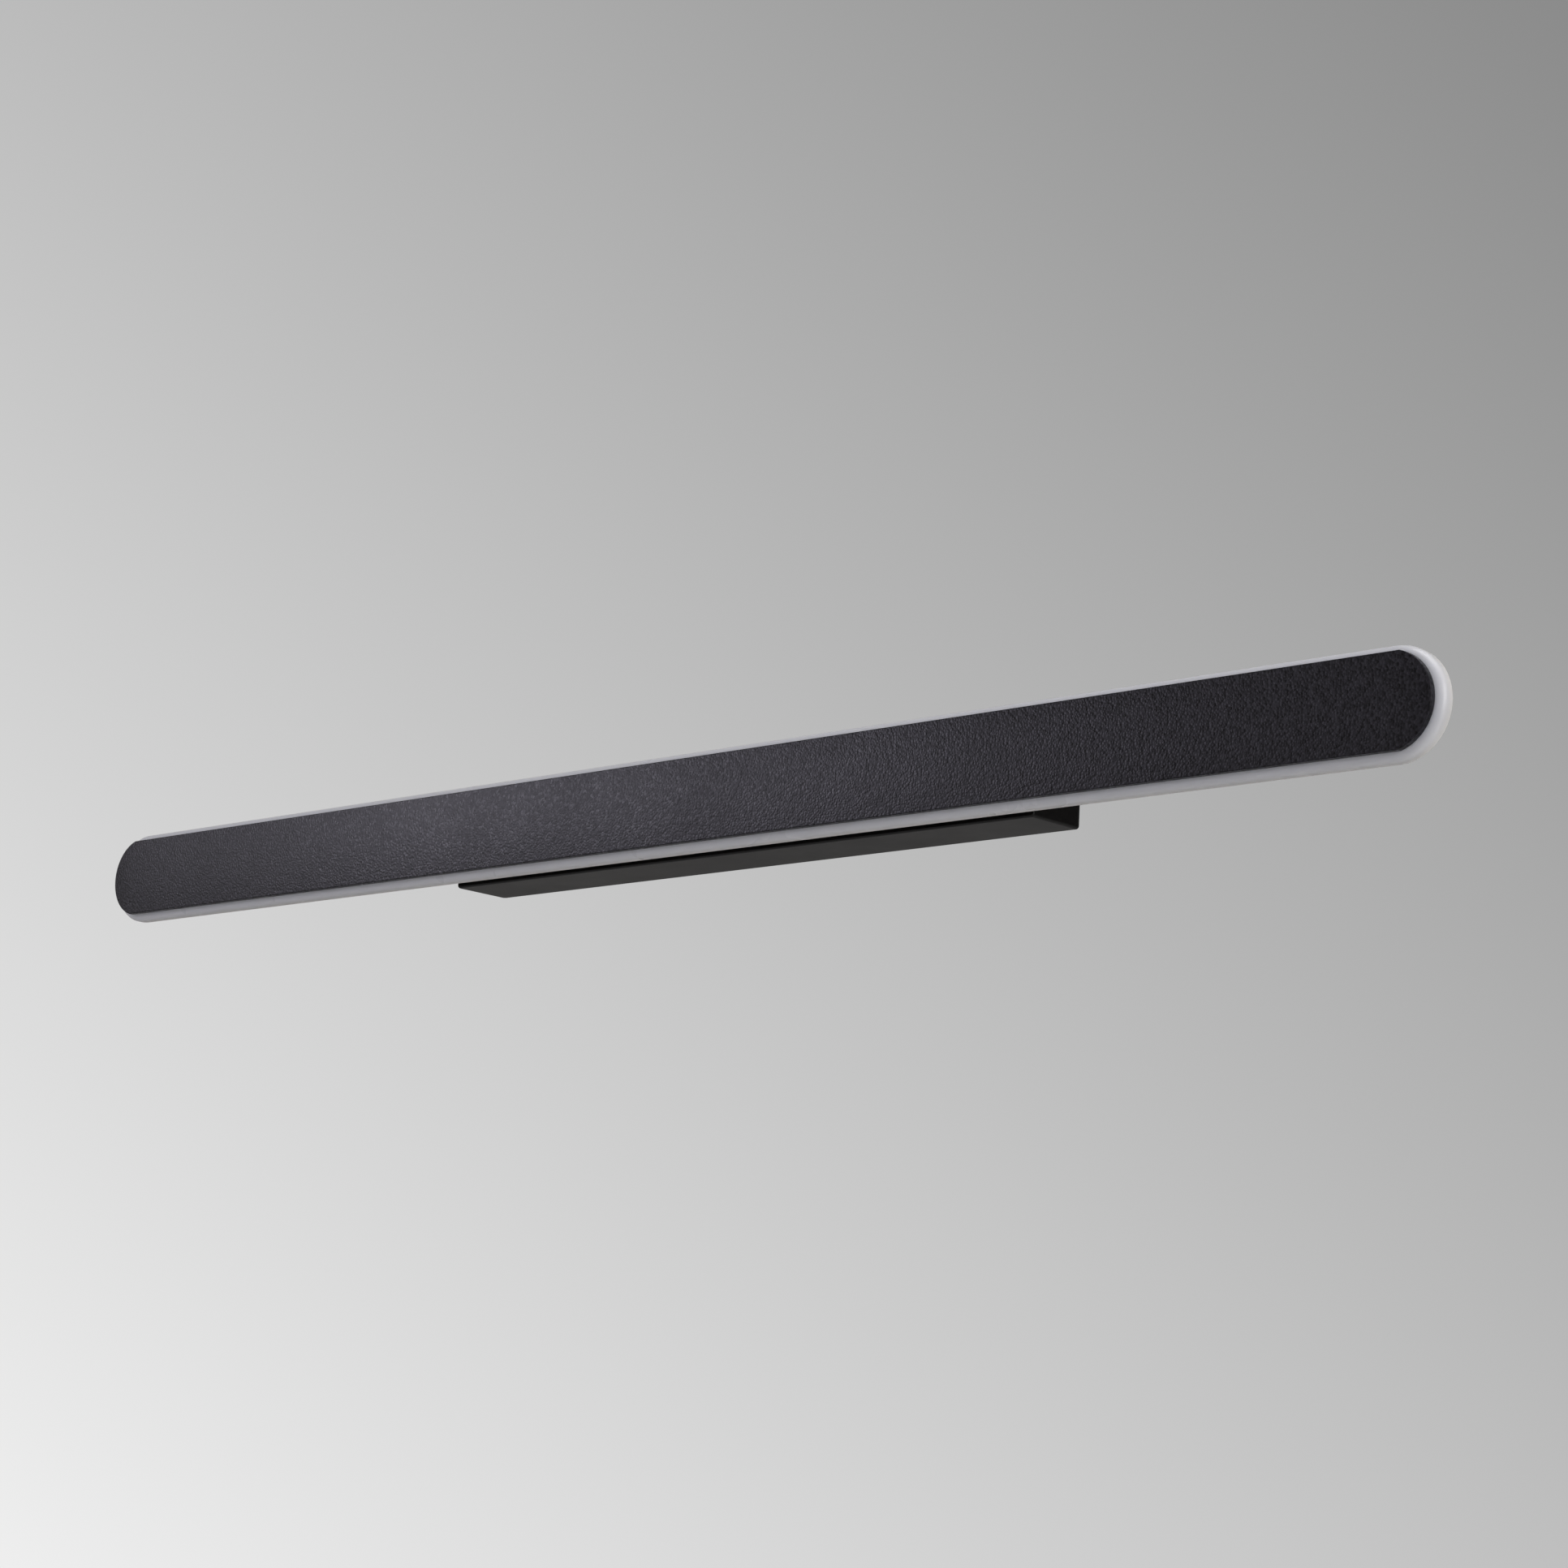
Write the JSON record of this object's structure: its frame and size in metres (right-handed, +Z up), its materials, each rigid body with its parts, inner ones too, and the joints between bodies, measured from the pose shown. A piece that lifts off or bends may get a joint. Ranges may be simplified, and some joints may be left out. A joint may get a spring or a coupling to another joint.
{
  "type": "vanity light bar",
  "caption": "Long wall light with a flat black face that has round ends, an opal diffuser showing all round it, and a black box canopy behind its middle.",
  "frame": {"origin": "middle of the wall bracket's flat back face, where the light meets the wall", "axes": "+X along the bar to the right as seen from the room, +Y into the wall, +Z up; the black face looks towards -Y"},
  "size_m": [0.9, 0.08, 0.05],
  "materials": {
    "textured_black_paint": "fine-textured black powder coat on flat sheet",
    "opal_acrylic": "opal white acrylic, satin surface, unlit",
    "satin_black_paint": "smooth satin black paint",
    "tray_black_paint": "smooth black paint on folded sheet",
    "zinc_plated_steel": "bright zinc plate",
    "brass": "plain turned brass",
    "white_circuit_board": "white solder mask with yellow LED packages",
    "silicone": "translucent white silicone",
    "black_foam": "closed-cell black foam",
    "black_rubber": "soft matt black rubber",
    "white_plastic": "fine-sparked white moulding",
    "brown_insulation": "extruded wire insulation",
    "blue_insulation": "extruded wire insulation",
    "green_insulation": "extruded wire insulation, green with a yellow stripe",
    "red_insulation": "extruded wire insulation",
    "black_insulation": "extruded wire insulation",
    "white_insulation": "extruded wire insulation"
  },
  "bodies": {
    "root": {"front_plate": "textured_black_paint", "diffuser": "opal_acrylic", "canopy_cover": "satin_black_paint", "stem_sleeve_left": "satin_black_paint", "stem_sleeve_right": "satin_black_paint", "cover_screw_1": "satin_black_paint", "cover_screw_2": "satin_black_paint", "rear_tray": "tray_black_paint", "wall_bracket": "zinc_plated_steel", "canopy_brace": "zinc_plated_steel", "stem_tube_left": "zinc_plated_steel", "stem_tube_right": "zinc_plated_steel", "stem_nut_front_left": "zinc_plated_steel", "stem_nut_front_right": "zinc_plated_steel", "stem_nut_rear_left": "zinc_plated_steel", "stem_nut_rear_right": "zinc_plated_steel", "plate_stud_1": "zinc_plated_steel", "plate_stud_2": "zinc_plated_steel", "plate_stud_3": "zinc_plated_steel", "plate_stud_4": "zinc_plated_steel", "spacer_screw_1": "zinc_plated_steel", "spacer_screw_2": "zinc_plated_steel", "spacer_screw_3": "zinc_plated_steel", "spacer_screw_4": "zinc_plated_steel", "board_screw_1": "zinc_plated_steel", "board_screw_2": "zinc_plated_steel", "board_screw_3": "zinc_plated_steel", "board_screw_4": "zinc_plated_steel", "board_screw_5": "zinc_plated_steel", "board_screw_6": "zinc_plated_steel", "board_screw_7": "zinc_plated_steel", "board_screw_8": "zinc_plated_steel", "driver_screw_1": "zinc_plated_steel", "driver_screw_2": "zinc_plated_steel", "terminal_block_screw": "zinc_plated_steel", "earth_screw": "zinc_plated_steel", "spacer_1": "brass", "spacer_2": "brass", "spacer_3": "brass", "spacer_4": "brass", "earth_tag": "brass", "led_board_upper_left": "white_circuit_board", "led_board_upper_right": "white_circuit_board", "led_board_lower_left": "white_circuit_board", "led_board_lower_right": "white_circuit_board", "diffuser_seal": "silicone", "wall_gasket": "black_foam", "cable_grommet": "black_rubber", "driver_case": "white_plastic", "driver_lid": "white_plastic", "terminal_block": "white_plastic", "live_lead": "brown_insulation", "neutral_lead": "blue_insulation", "earth_lead": "green_insulation", "output_lead_positive": "red_insulation", "output_lead_negative": "black_insulation", "board_link_left": "white_insulation", "board_link_upper": "white_insulation", "board_link_lower": "white_insulation"}
  },
  "joints": []
}
